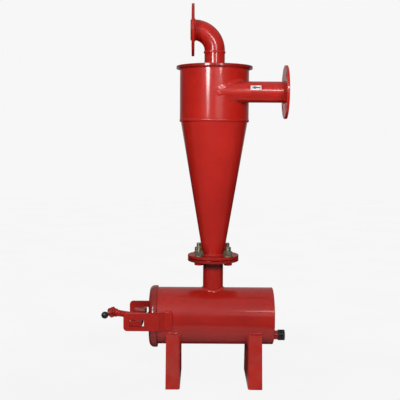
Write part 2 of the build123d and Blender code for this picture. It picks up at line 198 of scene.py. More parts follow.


# enamel over steel: cloudy red, dust on top, painted shade in corners, chipped edges, orange peel; its light
# level, a painted sheen and a painted shadow band below a ledge make lit and shaded copies
def makeRedPaint(name, peelShare=1.0, cornerShadeShare=0.18, paintedLightLevel=1.0, paintedSheen=0.0, gloss=1.0, shadowLedge=None):
    finish, tree, shader, place = newFinish(name)
    cloud = noiseFac(tree, place, redPaint["cloudScale"], 3.0)
    mottle = noiseFac(tree, place, redPaint["mottleScale"], 5.0, 0.6)
    colour = blendColor(tree, remap(tree, cloud, *noiseSpan), redPaint["deep"], redPaint["bright"])
    darker, paler = redPaint["mottleShades"]
    # the light level scales the whole colour: below one it is a painted shade, above one painted light
    shade = remap(tree, mottle, 0.25, 0.75, darker * paintedLightLevel, paler * paintedLightLevel)
    colour = blendColor(tree, 1.0, colour, greyOf(tree, shade), "MULTIPLY")

    # an edge is where the rounded normal parts from the surface's own
    bevel = addNode(tree, "ShaderNodeBevel", {"Radius": redPaint["edgeRadius"]}, samples=6)
    rounded = bevel.outputs["Normal"]
    facing = addNode(tree, "ShaderNodeNewGeometry").outputs["Normal"]
    agree = addNode(tree, "ShaderNodeVectorMath", {0: rounded, 1: facing}, operation="DOT_PRODUCT")
    rim = remap(tree, agree.outputs["Value"], *redPaint["edgeSpan"])

    # dust lies on what faces up, more in patches; the painted sheen share lays the same pale colour on every
    # face, also in patches, as a painted sheen
    upward = partsOf(tree, facing)["Z"]
    patches = remap(tree, noiseFac(tree, place, redPaint["dustScale"], 6.0, 0.65), 0.35, 0.75)
    settledAndSheen = remap(tree, upward, 0.45, 1.0, paintedSheen, paintedSheen + redPaint["dustShare"], True)
    dustAndSheen = calc(tree, "MULTIPLY", settledAndSheen, patches)
    colour = blendColor(tree, dustAndSheen, colour, redPaint["dustAndSheen"])

    if shadowLedge is not None:  # painted shadow: a dark band below an overhang, deepening with the height below it
        fadeEnd, deepEnd = shadowLedge - redPaint["shadowFade"], shadowLedge - redPaint["shadowDeep"]
        shadowBand = remap(tree, partsOf(tree, place)["Z"], fadeEnd, deepEnd, 0.0, redPaint["shadowShare"], True)
        colour = blendColor(tree, shadowBand, colour, redPaint["paintedShadow"])

    # painted shade: darker in corners and hollows by ambient occlusion, uneven with the mottle
    hollow = addNode(tree, "ShaderNodeAmbientOcclusion", {"Distance": redPaint["cornerShadeReach"]}, samples=6)
    paintedCornerShade = remap(tree, hollow.outputs["AO"], 0.7, 0.2, 0.0, cornerShadeShare)
    paintedCornerShade = calc(tree, "MULTIPLY", paintedCornerShade, remap(tree, mottle, *noiseSpan, 0.5, 1.0))
    colour = blendColor(tree, paintedCornerShade, colour, redPaint["cornerShade"])

    # small chips on edges show the primer, with a darker worn line round them
    speck = noiseFac(tree, place, redPaint["chipScale"], 4.0, 0.6)
    chip = calc(tree, "MULTIPLY", rim, remap(tree, speck, *redPaint["chipSpan"]))
    worn = calc(tree, "MULTIPLY", rim, redPaint["wornShare"])
    colour = blendColor(tree, worn, colour, redPaint["deep"])
    colour = blendColor(tree, chip, colour, redPaint["primer"])

    rough = noiseFac(tree, place, redPaint["roughScale"], 5.0, 0.6)
    rough = remap(tree, rough, *noiseSpan, *redPaint["roughness"])
    matted = calc(tree, "MULTIPLY", calc(tree, "ADD", dustAndSheen, chip), redPaint["dustRoughens"])
    rough = calc(tree, "ADD", rough, matted)

    wave = noiseFac(tree, place, redPaint["waveScale"], 2.0)
    peel = noiseFac(tree, place, redPaint["peelScale"], 2.0, 0.5)
    normal = bumpOf(tree, wave, redPaint["waveDepth"], 0.25, rounded)
    normal = bumpOf(tree, peel, redPaint["peelDepth"] * peelShare, 0.35, normal)
    normal = bumpOf(tree, calc(tree, "SUBTRACT", 1.0, chip), redPaint["chipDepth"], 0.6, normal)
    tree.links.new(colour, shader.inputs["Base Color"])
    tree.links.new(rough, shader.inputs["Roughness"])
    tree.links.new(normal, shader.inputs["Normal"])
    shader.inputs["Specular IOR Level"].default_value = redPaint["specular"]
    shader.inputs["Coat Weight"].default_value = redPaint["coat"] * gloss
    shader.inputs["Coat Roughness"].default_value = redPaint["coatRoughness"]
    return finish


blackPlastic = {
    "dark": (0.006, 0.006, 0.0065, 1.0),
    "rubbed": (0.022, 0.021, 0.020, 1.0),
    "rubbedScale": 60.0,
    "roughScale": 130.0,
    "roughness": (0.26, 0.48),
    "grainScale": 900.0,
    "grainDepth": 0.00012,
}


# moulded plastic: near black, greyer where handled, fine grain
def makeBlackPlastic():
    finish, tree, shader, place = newFinish("moulded_black")
    handled = remap(tree, noiseFac(tree, place, blackPlastic["rubbedScale"], 5.0, 0.6), 0.35, 0.75)
    colour = blendColor(tree, handled, blackPlastic["dark"], blackPlastic["rubbed"])
    rough = noiseFac(tree, place, blackPlastic["roughScale"], 4.0)
    rough = remap(tree, rough, *noiseSpan, *blackPlastic["roughness"])
    grain = noiseFac(tree, place, blackPlastic["grainScale"], 2.0)
    tree.links.new(colour, shader.inputs["Base Color"])
    tree.links.new(rough, shader.inputs["Roughness"])
    tree.links.new(bumpOf(tree, grain, blackPlastic["grainDepth"], 0.35), shader.inputs["Normal"])
    return finish


blackRubber = {
    "dark": (0.011, 0.0105, 0.010, 1.0),
    "bloom": (0.045, 0.043, 0.040, 1.0),
    "bloomScale": 45.0,
    "roughScale": 90.0,
    "roughness": (0.62, 0.84),
    "pitScale": 700.0,
    "pitDepth": 0.0002,
}


# rubber: matt black with a grey bloom and a pitted skin
def makeBlackRubber():
    finish, tree, shader, place = newFinish("sealing_rubber")
    bloom = remap(tree, noiseFac(tree, place, blackRubber["bloomScale"], 6.0, 0.65), 0.4, 0.75)
    colour = blendColor(tree, bloom, blackRubber["dark"], blackRubber["bloom"])
    rough = noiseFac(tree, place, blackRubber["roughScale"], 3.0)
    rough = remap(tree, rough, *noiseSpan, *blackRubber["roughness"])
    pits = noiseFac(tree, place, blackRubber["pitScale"], 3.0)
    tree.links.new(colour, shader.inputs["Base Color"])
    tree.links.new(rough, shader.inputs["Roughness"])
    tree.links.new(bumpOf(tree, pits, blackRubber["pitDepth"], 0.4), shader.inputs["Normal"])
    return finish


zincPlate = {
    "bright": (0.56, 0.53, 0.40, 1.0),
    "dull": (0.33, 0.31, 0.22, 1.0),
    "rust": (0.16, 0.055, 0.020, 1.0),
    "dullScale": 140.0,
    "rustScale": 260.0,
    "rustSpan": (0.64, 0.72),
    "roughness": (0.34, 0.52),
    "rustRoughens": 0.35,
    "rustMetal": 0.1,
    "grainScale": 800.0,
    "grainDepth": 0.00015,
}


# zinc plating: greenish grey, dulled in patches, specks of rust
def makeZincPlate():
    finish, tree, shader, place = newFinish("zinc_plate")
    dull = remap(tree, noiseFac(tree, place, zincPlate["dullScale"], 6.0, 0.65), 0.32, 0.7)
    rust = noiseFac(tree, place, zincPlate["rustScale"], 5.0, 0.7)
    rust = remap(tree, rust, *zincPlate["rustSpan"])
    colour = blendColor(tree, dull, zincPlate["bright"], zincPlate["dull"])
    colour = blendColor(tree, rust, colour, zincPlate["rust"])
    rough = remap(tree, dull, 0.0, 1.0, *zincPlate["roughness"])
    rough = calc(tree, "ADD", rough, calc(tree, "MULTIPLY", rust, zincPlate["rustRoughens"]))
    metal = remap(tree, rust, 0.0, 1.0, 1.0, zincPlate["rustMetal"])
    grain = noiseFac(tree, place, zincPlate["grainScale"], 3.0)
    tree.links.new(colour, shader.inputs["Base Color"])
    tree.links.new(rough, shader.inputs["Roughness"])
    tree.links.new(metal, shader.inputs["Metallic"])
    tree.links.new(bumpOf(tree, grain, zincPlate["grainDepth"], 0.3), shader.inputs["Normal"])
    return finish


# the arrow's sizes are shares of the label's length and height
labelVinyl = {
    "white": (0.80, 0.79, 0.76, 1.0),
    "aged": (0.64, 0.60, 0.54, 1.0),
    "ink": (0.035, 0.038, 0.05, 1.0),
    "tip": 0.08,
    "headEnd": 0.46,
    "headFlare": 0.95,
    "shaftMiddle": 0.68,
    "shaftReach": 0.24,
    "shaftHalf": 0.14,
    "inkScale": 600.0,
    "agedScale": 120.0,
    "roughness": (0.28, 0.5),
    "creaseScale": 300.0,
    "creaseDepth": 0.0002,
}


# white vinyl with a plain flow arrow, drawn from the label's own map (u along the pipe, v round it)
def makeLabelVinyl():
    finish, tree, shader, place = newFinish("label_vinyl")
    chart = partsOf(tree, addNode(tree, "ShaderNodeTexCoord").outputs["UV"])
    along = chart["X"]
    offLine = calc(tree, "ABSOLUTE", calc(tree, "SUBTRACT", chart["Y"], 0.5))

    # shaft: near the middle line, and near the shaft's own middle
    fromMiddle = calc(tree, "ABSOLUTE", calc(tree, "SUBTRACT", along, labelVinyl["shaftMiddle"]))
    inHeight = calc(tree, "LESS_THAN", offLine, labelVinyl["shaftHalf"])
    inLength = calc(tree, "LESS_THAN", fromMiddle, labelVinyl["shaftReach"])
    onShaft = calc(tree, "MULTIPLY", inHeight, inLength)

    # head: a wedge that widens from the tip
    flare = calc(tree, "MULTIPLY", calc(tree, "SUBTRACT", along, labelVinyl["tip"]), labelVinyl["headFlare"])
    inWedge = calc(tree, "LESS_THAN", offLine, flare)
    onHead = calc(tree, "MULTIPLY", inWedge, calc(tree, "LESS_THAN", along, labelVinyl["headEnd"]))

    ink = calc(tree, "MAXIMUM", onShaft, onHead)
    faded = remap(tree, noiseFac(tree, place, labelVinyl["inkScale"], 4.0), 0.35, 0.6, 0.72, 1.0)
    aged = remap(tree, noiseFac(tree, place, labelVinyl["agedScale"], 5.0, 0.6), 0.4, 0.75)
    colour = blendColor(tree, aged, labelVinyl["white"], labelVinyl["aged"])
    colour = blendColor(tree, calc(tree, "MULTIPLY", ink, faded), colour, labelVinyl["ink"])
    rough = remap(tree, aged, 0.0, 1.0, *labelVinyl["roughness"])
    crease = noiseFac(tree, place, labelVinyl["creaseScale"], 2.0)
    tree.links.new(colour, shader.inputs["Base Color"])
    tree.links.new(rough, shader.inputs["Roughness"])
    tree.links.new(bumpOf(tree, crease, labelVinyl["creaseDepth"], 0.3), shader.inputs["Normal"])
    return finish


paint = makeRedPaint("red_enamel")
beadPaint = makeRedPaint("red_enamel_on_weld", peelShare=0.5, cornerShadeShare=0.06)
# copies of the red at other light levels: painted shade on the tank, its end plate, clamp arms and hub, on
# the outlet and cone flanges and crossbar, the elbow and the neck, and a lighter copy with a painted sheen on
# the legs; the darkest copy is a darker paint on the lid and painted shade on the lower flange, top plate and
# bolt heads
tankShadedPaint = makeRedPaint("red_enamel_tank_painted_shade", paintedLightLevel=0.93)
plateShadedPaint = makeRedPaint("red_enamel_plate_painted_shade", paintedLightLevel=0.85, gloss=0.3)
legSheenPaint = makeRedPaint("red_enamel_leg_painted_sheen", paintedLightLevel=1.08, paintedSheen=0.26)
neckShadowPaint = makeRedPaint("red_enamel_neck_painted_shadow", paintedLightLevel=0.84, shadowLedge=flangeFoot)
elbowShadedPaint = makeRedPaint("red_enamel_elbow_painted_shade", paintedLightLevel=0.92, gloss=0.6)
lidAndShadePaint = makeRedPaint("red_enamel_lid_and_painted_shade", peelShare=0.3, paintedLightLevel=0.62)
plastic = makeBlackPlastic()
rubber = makeBlackRubber()
zinc = makeZincPlate()
vinyl = makeLabelVinyl()

# solids that aren't in plain red paint, with the copies above that paint shade and light
finishes = [
    (plastic, ["drain_cap", "lever_ball"]),
    (rubber, ["flange_gasket", "lid_gasket"]),
    (lidAndShadePaint, ["lid", "tank_flange", "top_plate"]),
    (plateShadedPaint, ["outlet_flange", "crossbar", "cone_flange"]),
    (elbowShadedPaint, ["outlet_elbow"]),
    (neckShadowPaint, ["neck_pipe"]),
    (legSheenPaint, ["left_support", "right_support"]),
    (tankShadedPaint, ["tank_shell", "tank_end_plate", "front_clamp_arm", "rear_clamp_arm", "spindle_hub"]),
]
finishOf = {node: finish for finish, nodes in finishes for node in nodes}
for node, solid in solids.items():
    finish = finishOf.get(node, paint)
    if not solid.material_slots:
        solid.data.materials.append(finish)
    for holder in solid.material_slots:
        holder.material = finish
print("finishes on the solids")


# quads between neighbours of a grid of rows and columns, closed where a direction wraps round
def gridQuads(rows, columns, wrapRows, wrapColumns):
    row, column = np.meshgrid(
        np.arange(rows if wrapRows else rows - 1),
        np.arange(columns if wrapColumns else columns - 1),
        indexing="ij",
    )
    here, below = row * columns, (row + 1) % rows * columns
    nextColumn = (column + 1) % columns
    return np.stack([here + column, here + nextColumn, below + nextColumn, below + column], -1).reshape(-1, 4)


# a mesh piece from a grid of points; ends are closed by one face each, and a closed skin whose volume
# comes out negative is turned round so that its faces point outward
def surfacePiece(
    name, points, finish, body, slot, wrapRows=False, wrapColumns=True, capEnds=False, sharp=35.0
):
    rows, columns = points.shape[:2]
    verts = points.reshape(-1, 3)
    quads = gridQuads(rows, columns, wrapRows, wrapColumns)
    insideOut = False
    if capEnds or wrapRows:
        a, b, c, d = (verts[quads[:, k]] - verts.mean(0) for k in range(4))
        volume = np.einsum("ij,ij->", a, np.cross(b, c)) + np.einsum("ij,ij->", a, np.cross(c, d))
        insideOut = volume < 0
    faces = (quads[:, ::-1] if insideOut else quads).tolist()
    if capEnds:
        first, last = list(range(columns)), list(range((rows - 1) * columns, rows * columns))
        faces += [first, last[::-1]] if insideOut else [first[::-1], last]
    mesh = bpy.data.meshes.new(name)
    mesh.from_pydata(verts.tolist(), [], faces)
    mesh.update()
    mesh.shade_smooth()
    mesh.set_sharp_from_angle(angle=radians(sharp))
    mesh.materials.append(finish)
    piece = bpy.data.objects.new(name, mesh)
    scene.collection.objects.link(piece)
    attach(piece, body)
    return piece


# points at even steps along a dense line, by its own length; the columns after the first three ride along
def evenPath(points, step, closed):
    line = np.vstack([points, points[:1]]) if closed else points
    run = np.concatenate([[0.0], np.cumsum(np.linalg.norm(np.diff(line[:, :3], axis=0), axis=1))])
    count = max(8, int(round(run[-1] / step)))
    at = np.linspace(0.0, run[-1], count + 1)
    even = np.stack([np.interp(at, run, column) for column in line.T], -1)
    return even[:-1] if closed else even


weldBead = {
    "step": 0.0008,
    "pitch": 0.0042,
    "sides": 14,
    "ripple": 0.16,
    "blunt": 0.6,
    "crescent": 0.42,
    "wobble": 0.10,
    "wobbleTurns": (2, 5, 11, 23),
    "endLength": 1.3,
    "endLeast": 0.0016,
    "sharp": 60.0,
}


# an oval bead carried along a line, wide across the joint and low outward: it swells and dips once a ripple,
# bent to crescents across the bead, with slow seeded wobble; an open bead rounds off to its ends
def makeBead(name, points, outward, wide, high, closed, seed, body="root", ripple=None, finish=beadPaint):
    path = evenPath(np.hstack([points, np.broadcast_to(outward, points.shape)]), weldBead["step"], closed)
    path, outward = path[:, :3], path[:, 3:]
    count = len(path)
    tangent = unit(np.roll(path, -1, 0) - np.roll(path, 1, 0) if closed else np.gradient(path, axis=0))
    outward = unit(outward - np.einsum("ij,ij->i", outward, tangent)[:, None] * tangent)
    across = np.cross(tangent, outward)
    length = np.linalg.norm(np.diff(path, axis=0), axis=1).sum()
    share = np.arange(count) / (count if closed else count - 1)

    turns = np.array(weldBead["wobbleTurns"])
    phases = np.random.default_rng(seed).uniform(0, 2 * pi, (2, len(turns)))
    slow = 1 + weldBead["wobble"] * np.sin(2 * pi * share[:, None, None] * turns + phases).sum(2) / 2

    angle = np.linspace(0, 2 * pi, weldBead["sides"], endpoint=False)
    ripples = max(2, round(length / weldBead["pitch"]))
    phase = share[:, None] * ripples - weldBead["crescent"] * np.cos(angle)[None] ** 2
    dip = weldBead["ripple"] if ripple is None else ripple
    swell = 1 - dip + dip * np.abs(np.sin(pi * phase)) ** weldBead["blunt"]
    if not closed:
        toEnd = np.minimum(share, 1 - share) * length
        fromEnd = np.clip(toEnd / (weldBead["endLength"] * wide * mm), 0, 1)
        swell = swell * np.sqrt(np.clip(1 - (1 - fromEnd) ** 2, weldBead["endLeast"], 1))[:, None]
    sideways = wide * mm * slow[:, :1] * swell * np.cos(angle)
    raised = high * mm * slow[:, 1:] * swell * np.sin(angle)
    skin = path[:, None] + sideways[..., None] * across[:, None] + raised[..., None] * outward[:, None]
    surfacePiece(name, skin, finish, body, "red_paint", closed, True, not closed, weldBead["sharp"])


# a full ring about the origin, in the plane of two directions: radius times cosine one way, sine the other
def ringLine(radius, first, second, count=720):
    turn = np.linspace(0, 2 * pi, count, endpoint=False)[:, None]
    return radius * (np.cos(turn) * np.array(first) + np.sin(turn) * np.array(second))


# ring weld: the bead faces outward from the ring's middle and along its axis by a lean
def ringBead(name, centre, radius, first, second, lean, wide, high, seed, **more):
    ring = ringLine(radius, first, second)
    makeBead(name, np.array(centre) + ring, unit(ring) + np.array(lean), wide, high, True, seed, **more)


def onAxis(height):
    return (axisX, axisY, height)


# how far some welds sit off the corner they follow, and the outside radius of the cone's small end
weldSeat = {
    "elbowSink": 0.0002,
    "seamRise": 0.003,
    "seamSink": 0.0008,
    "endSink": 0.0004,
    "endInset": 0.0032,
    "coneFoot": 0.0315,
}
noLean = np.zeros(3)
elbowRadius = pipeRadius - weldSeat["elbowSink"]
seamSpot = onAxis(cylinderLow[2] + weldSeat["seamRise"])
seamRadius = cylinderRadius - weldSeat["seamSink"]
coneSpot = onAxis(lowHigh("cone_shell")[0][2])
inletSpot = (lowHigh("inlet_flange")[0][0], inletY, inletZ)
outletSpot = (lowHigh("outlet_flange")[1][0], axisY, outletZ)
endSpot = (tankHigh[0] - weldSeat["endSink"], axisY, tankZ)
endRadius = tankRadius - weldSeat["endInset"]

# ring welds: centre, radius, the ring's two directions, lean along its axis, half width and height in mm
rings = {
    "elbow_weld": (onAxis(pipeHigh[2]), elbowRadius, xWay, yWay, noLean, 3.8, 2.4),
    "outlet_pipe_weld": (onAxis(plateHigh[2]), pipeRadius, xWay, yWay, zWay, 5.0, 3.0),
    "top_plate_weld": (onAxis(plateLow[2]), cylinderRadius, xWay, yWay, -zWay, 5.2, 3.0),
    "cone_seam_weld": (seamSpot, seamRadius, xWay, yWay, noLean, 4.2, 2.0),
    "cone_foot_weld": (coneSpot, weldSeat["coneFoot"], xWay, yWay, zWay, 5.0, 3.0),
    "neck_flange_weld": (onAxis(flangeFoot), pipeRadius, xWay, yWay, -zWay, 5.0, 3.0),
    "inlet_flange_weld": (inletSpot, pipeRadius, yWay, zWay, -xWay, 5.0, 3.0),
    "outlet_flange_weld": (outletSpot, pipeRadius, yWay, zWay, xWay, 5.0, 3.0),
    "end_plate_weld": (endSpot, endRadius, yWay, zWay, 3 * xWay, 3.6, 1.8),
    "drain_weld": ((tankHigh[0], drainY, drainZ), drainRadius, yWay, zWay, xWay, 4.2, 2.6),
}
# the neck's flange weld takes the neck's darker copy of the paint, with its painted shadow band
for seed, (name, ring) in enumerate(rings.items(), 100):
    ringBead(name, *ring, seed, finish=neckShadowPaint if name == "neck_flange_weld" else beadPaint)

inletFillet = {
    "reach": 0.009,
    "sink": 0.00015,
    "swell": 0.0004,
    "lumps": 0.00035,
    "lumpTurns": (7, 12, 19, 31),
    "smoothing": 30,
    "columns": 1200,
    "sides": 11,
    "root": 0.002,
    "seed": 120,
}


# the inlet's weld is dressed to a hollow fillet round the common curve of pipe and cylinder, where x is the
# root of radius squared less y squared: it runs from a line offset in the unrolled cylinder to a line along
# the pipe, bent by the curve as its corner, and swells a little in slow seeded lumps
def makeInletWeld():
    turn = np.linspace(0, 2 * pi, inletFillet["columns"], endpoint=False)
    offY = inletY - axisY + pipeRadius * np.cos(turn)
    offX = np.sqrt(np.clip(cylinderRadius**2 - offY**2, 0, None))
    curve = np.stack([axisX + offX, axisY + offY, inletZ + pipeRadius * np.sin(turn)], -1)
    pipeOut = np.stack([0 * turn, np.cos(turn), np.sin(turn)], -1)
    shellOut = np.stack([offX, offY, 0 * turn], -1) / cylinderRadius

    # the offset is square to the unrolled curve, smoothed round the loop by a parabola's weights
    unrolled = np.stack([cylinderRadius * np.arctan2(offX, -offY), curve[:, 2]], -1)
    step = np.roll(unrolled, -1, 0) - np.roll(unrolled, 1, 0)
    away = np.stack([step[:, 1], -step[:, 0]], -1)
    away *= np.sign(np.einsum("ij,ij->", away, unrolled - unrolled.mean(0)))
    spread = inletFillet["smoothing"]
    weights = 1 - np.linspace(-1, 1, 2 * spread + 1) ** 2
    smooth = [np.convolve(np.pad(column, spread, "wrap"), weights, "valid") for column in unit(away).T]
    onShell = unrolled + inletFillet["reach"] * unit(np.stack(smooth, -1))
    bearing, deep = onShell[:, 0] / cylinderRadius, cylinderRadius - inletFillet["sink"]
    shellLine = np.stack([axisX + deep * np.sin(bearing), axisY - deep * np.cos(bearing), onShell[:, 1]], -1)
    pipeLine = curve + inletFillet["reach"] * xWay - inletFillet["sink"] * pipeOut

    part = np.linspace(0, 1, inletFillet["sides"])[None, :, None]
    skin = (1 - part) ** 2 * shellLine[:, None] + 2 * part * (1 - part) * curve[:, None]
    skin = skin + part**2 * pipeLine[:, None]
    lumpTurns = np.array(inletFillet["lumpTurns"])
    phases = np.random.default_rng(inletFillet["seed"]).uniform(0, 2 * pi, len(lumpTurns))
    lumps = np.sin(turn[:, None] * lumpTurns + phases).sum(1) / 2
    lift = np.sin(pi * part) * (inletFillet["swell"] + inletFillet["lumps"] * lumps[:, None, None])
    outward = unit(pipeOut + shellOut)
    skin = skin + lift * outward[:, None]
    root = curve - inletFillet["root"] * outward  # closes the fillet inside the joint
    skin = np.concatenate([skin, root[:, None]], 1)
    surfacePiece("inlet_weld", skin, beadPaint, "root", "red_paint", True, sharp=weldBead["sharp"])


neckSaddle = {"columns": 1200, "wide": 6.5, "high": 3.8, "seed": 121}


# the neck's weld follows the common curve of neck and tank: above the tank's axis by the root of the tank's
# radius squared less y squared
def makeNeckWeld():
    turn = np.linspace(0, 2 * pi, neckSaddle["columns"], endpoint=False)
    offY = pipeRadius * np.sin(turn)
    offZ = np.sqrt(tankRadius**2 - offY**2)
    curve = np.stack([axisX + pipeRadius * np.cos(turn), axisY + offY, tankZ + offZ], -1)
    outward = np.stack([np.cos(turn), np.sin(turn) + offY / tankRadius, offZ / tankRadius], -1)
    makeBead("neck_weld", curve, outward, neckSaddle["wide"], neckSaddle["high"], True, neckSaddle["seed"])


makeInletWeld()
makeNeckWeld()
print("ring and saddle welds")

supportWeld = {
    "arcShare": 0.985,
    "arcPoints": 400,
    "arcWide": 4.4,
    "arcHigh": 2.6,
    "arcSeed": 130,
    "edgePoints": 60,
    "edgeWide": 5.0,
    "edgeHigh": 3.6,
    "edgeRipple": 0.34,
    "edgeLean": 0.3,
    "edgeSeed": 140,
    "fromWeb": 0.004,
    "fromTip": 0.001,
}


# support welds: an arc of the tank's radius along the web, and straight lines along the two flange tops
def makeSupportWelds(name, away, order):
    foot, top = lowHigh(name)
    webX, tipX = (foot[0], top[0]) if away > 0 else (top[0], foot[0])
    rise = top[2]
    reach = np.sqrt(tankRadius**2 - (tankZ - rise) ** 2)
    swing = np.linspace(-1, 1, supportWeld["arcPoints"]) * np.arcsin(reach / tankRadius)
    swing = swing * supportWeld["arcShare"]
    around = np.stack([0 * swing, np.sin(swing), -np.cos(swing)], -1)
    arc = np.array([webX, axisY, tankZ]) + tankRadius * around
    wide, high, seed = supportWeld["arcWide"], supportWeld["arcHigh"], supportWeld["arcSeed"] + order
    makeBead(name + "_web_weld", arc, around - away * xWay, wide, high, False, seed)

    wide, high, seed = supportWeld["edgeWide"], supportWeld["edgeHigh"], supportWeld["edgeSeed"] + 2 * order
    start, stop = webX + away * supportWeld["fromWeb"], tipX - away * supportWeld["fromTip"]
    run = np.linspace(start, stop, supportWeld["edgePoints"])
    for side, tag in ((-1, "_front_weld"), (1, "_rear_weld")):
        edge = np.stack([run, np.full_like(run, axisY + side * reach), np.full_like(run, rise)], -1)
        outward = side * yWay + supportWeld["edgeLean"] * zWay
        makeBead(name + tag, edge, outward, wide, high, False, seed + side, ripple=supportWeld["edgeRipple"])


makeSupportWelds("left_support", -1, 0)
makeSupportWelds("right_support", 1, 1)

# the clamp is turned a little about the tank's length: its sideways and upward directions
roll = np.arctan2(screwAxis[1], screwAxis[2])
clampSide = np.array([0.0, -np.cos(roll), np.sin(roll)])
clampUp = np.array([0.0, np.sin(roll), np.cos(roll)])
screwUp = np.cross(screwAxis, clampSide)

armPad = {
    "length": 0.0245,
    "corner": 0.008,
    "wide": 5.2,
    "high": 3.4,
    "lift": 0.0016,
    "edgePoints": 60,
    "cornerPoints": 40,
    "endPoints": 120,
    "seed": 160,
}


# clamp arm welds: along the pad's top, round its end and back below. The line is a path of corner centres
# plus the corner's radius in the facing direction, laid on the tank, where y is the root of the tank's
# radius squared less the height above its axis squared
def makeArmWeld(name, side, seed):
    corners = cornersOf(name)
    heights = (corners - screwOrigin) @ clampUp
    low, high, end = heights.min(), heights.max(), corners[:, 0].max()
    curve, edgeCount, endCount = armPad["corner"], armPad["edgePoints"], armPad["endPoints"]
    bend = np.linspace(pi / 2, 0, armPad["cornerPoints"])
    straight = np.linspace(end - armPad["length"], end - curve, edgeCount)
    drop = np.linspace(high - curve, low + curve, endCount)
    edge, corner = np.ones(edgeCount), np.ones_like(bend)

    facing = np.concatenate([pi / 2 * edge, bend, 0 * drop, -bend[::-1], -pi / 2 * edge])
    outX, outUp = np.cos(facing), np.sin(facing)
    acrossEnd = np.full(endCount + 2 * len(bend), end - curve)
    padX = np.concatenate([straight, acrossEnd, straight[::-1]]) + curve * outX
    upper, lower = (high - curve) * np.append(edge, corner), (low + curve) * np.append(corner, edge)
    padUp = np.concatenate([upper, drop, lower]) + curve * outUp

    z = screwOrigin[2] + side * tankRadius * clampSide[2] + padUp * clampUp[2]
    y = -side * np.sqrt(tankRadius**2 - (z - tankZ) ** 2)
    normal = np.stack([0 * padX, y, z - tankZ], -1) / tankRadius
    outline = np.stack([padX, axisY + y, z], -1) + armPad["lift"] * normal
    outward = normal + outX[:, None] * xWay + outUp[:, None] * clampUp
    makeBead(name + "_weld", outline, outward, armPad["wide"], armPad["high"], False, seed)


makeArmWeld("front_clamp_arm", 1, armPad["seed"])
makeArmWeld("rear_clamp_arm", -1, armPad["seed"] + 1)
print("support and clamp arm welds")


# distances along the screw's axis from the crossbar's middle
def stationsOf(node):
    return (cornersOf(node) - screwOrigin) @ screwAxis


spindleStations = stationsOf("clamp_spindle")
spindleSpread = cornersOf("clamp_spindle") - screwOrigin - spindleStations[:, None] * screwAxis
spindleRadius = np.linalg.norm(spindleSpread, axis=1).max()

# the lever rises and leans outward by degrees; the hub is a hexagon with a flat toward the spindle
lever = {
    "station": 0.0813,
    "rise": 7.5,
    "lean": 2.8,
    "rod": 0.006,
    "rodWeld": (2.6, 1.8),
    "rodSeed": 181,
    "hubHalf": 0.0100,
    "hubFlat": 0.00837,
    "hubFall": np.sqrt(3) / 2,
    "hubWeld": (3.4, 2.2),
    "hubSeed": 180,
}


# lever and hub welds: a ring round the rod, and a ring round the spindle that falls back from the hub's foot
# by a share of its distance past the flat
def makeLeverWelds():
    rise, lean = radians(lever["rise"]), radians(lever["lean"])
    hubWay = np.cos(rise) * clampSide + np.sin(rise) * screwUp
    hubSide = np.cross(hubWay, screwAxis)
    leverWay = np.cos(lean) * hubWay + np.sin(lean) * screwAxis
    root = screwOrigin + lever["station"] * screwAxis + lever["hubHalf"] * leverWay
    rodRing = (root, lever["rod"], screwAxis, hubSide, leverWay)
    ringBead("lever_weld", *rodRing, *lever["rodWeld"], lever["rodSeed"], body="clamp_screw")

    ring = ringLine(spindleRadius, hubWay, hubSide)
    past = np.clip(np.abs(ring @ hubSide) - lever["hubFlat"], 0, None)
    station = stationsOf("spindle_hub").min() + lever["hubFall"] * past
    curve = screwOrigin + station[:, None] * screwAxis + ring
    outward = unit(ring) - screwAxis
    makeBead("hub_weld", curve, outward, *lever["hubWeld"], True, lever["hubSeed"], "clamp_screw")


threadShape = {"steep": 1.7, "root": 0.35}


# crest share of a thread: a trapezoid wave of the distance in pitches less the turn round the axis
def threadCrest(distance, turn, pitch):
    part = np.mod(distance / pitch - turn / (2 * pi), 1.0)
    return np.clip(threadShape["steep"] * np.abs(2 * part - 1) - threadShape["root"], 0.0, 1.0)


spindleThread = {
    "pitch": 0.0025,
    "depth": 0.0013,
    "columns": 40,
    "steps": 7,
    "nose": 0.006,
    "noseLength": 0.0062,
    "noseEdge": 0.0008,
    "noseEnd": 0.002,
    "shoulder": 0.0012,
    "runIn": 0.0015,
    "runInLeast": 0.25,
    "runOut": 0.004,
    "plainEnd": 0.006,
}


